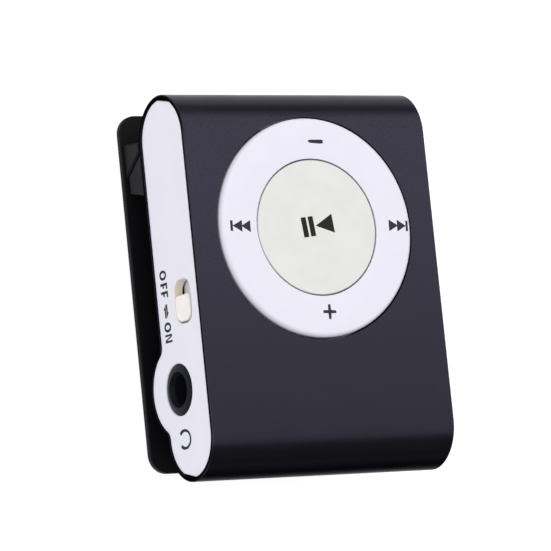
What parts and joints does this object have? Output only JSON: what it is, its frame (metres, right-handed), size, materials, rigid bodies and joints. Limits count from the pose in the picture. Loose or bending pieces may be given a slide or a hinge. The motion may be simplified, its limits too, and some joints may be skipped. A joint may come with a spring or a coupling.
{
  "type": "digital audio player",
  "caption": "Clip-on audio player: rounded extruded sleeve, white end caps, rocking control ring round a press button, slide switch, headphone socket and a sprung belt clip.",
  "frame": {"origin": "under the middle of the body, on the clip's flat outer face, which the player lies on", "axes": "+Z leaves the front face, +Y runs towards the ring's end, +X runs along the extrusion away from the headphone socket"},
  "size_m": [0.032, 0.044, 0.0168],
  "materials": {
    "anodised_sleeve": "fine satin anodising",
    "white_plastic": "satin gloss moulding",
    "knob_plastic": "satin moulding",
    "button_metal": "satin, with a bright chamfer",
    "clip_plastic": "satin black moulding",
    "jack_plastic": "black moulding",
    "frame_plastic": "plain moulding",
    "grip_rubber": "matt",
    "steel": "bright",
    "spring_steel": "drawn wire",
    "gold_contact": "plated",
    "board_green": "solder mask",
    "chip_black": "moulded package",
    "battery_wrap": "foil pouch",
    "foam": "closed-cell foam",
    "lead_insulation": "insulation",
    "light_pipe": "clear moulding"
  },
  "bodies": {
    "clip": {"clip_plate": "clip_plastic", "hinge_pin": "steel", "torsion_spring": "spring_steel", "grip_strip": "grip_rubber"},
    "player": {"sleeve": "anodised_sleeve", "left_end_cap": "white_plastic", "right_end_cap": "white_plastic", "status_light_pipe": "light_pipe", "jack_collar": "jack_plastic", "key_frame": "frame_plastic", "rocker_posts": "frame_plastic", "slide_switch": "steel", "headphone_jack": "jack_plastic", "jack_contacts": "gold_contact", "main_board": "board_green", "board_screws": "steel", "snap_domes": "steel", "processor": "chip_black", "memory_chip": "chip_black", "clock_crystal": "steel", "status_led": "light_pipe", "chassis": "frame_plastic", "battery": "battery_wrap", "battery_pad": "foam", "battery_leads": "lead_insulation", "nut_bar": "steel", "hinge_bracket": "clip_plastic", "bracket_screws": "steel"},
    "rocker": {"rocker_plate": "frame_plastic"},
    "ring": {"control_ring": "white_plastic"},
    "button": {"play_button": "white_plastic", "play_button_disc": "button_metal"},
    "knob": {"power_knob": "knob_plastic", "switch_lever": "frame_plastic"}
  },
  "joints": [
    {"name": "clip_hinge", "type": "hinge", "parent": "clip", "child": "player", "pos_m": [0, 0.0171, 0.0035], "axis": [-1, 0, 0], "range_deg": [0, 18], "stiffness_Nm_per_rad": 0.05, "springref_deg": -68.75, "deforming": ["torsion_spring"]},
    {"name": "ring_rock_volume", "type": "hinge", "parent": "player", "child": "rocker", "pos_m": [0, 0.0057, 0.01285], "axis": [1, 0, 0], "range_deg": [-1, 1], "stiffness_Nm_per_rad": 0.5},
    {"name": "ring_rock_skip", "type": "hinge", "parent": "rocker", "child": "ring", "pos_m": [0, 0.0057, 0.01355], "axis": [0, 1, 0], "range_deg": [-1, 1], "stiffness_Nm_per_rad": 0.5},
    {"name": "play_press", "type": "slide", "parent": "player", "child": "button", "axis": [0, 0, -1], "range_m": [0, 0.00028], "stiffness_N_per_m": 5000},
    {"name": "power_slide", "type": "slide", "parent": "player", "child": "knob", "axis": [0, 1, 0], "range_m": [0, 0.00135]}
  ]
}
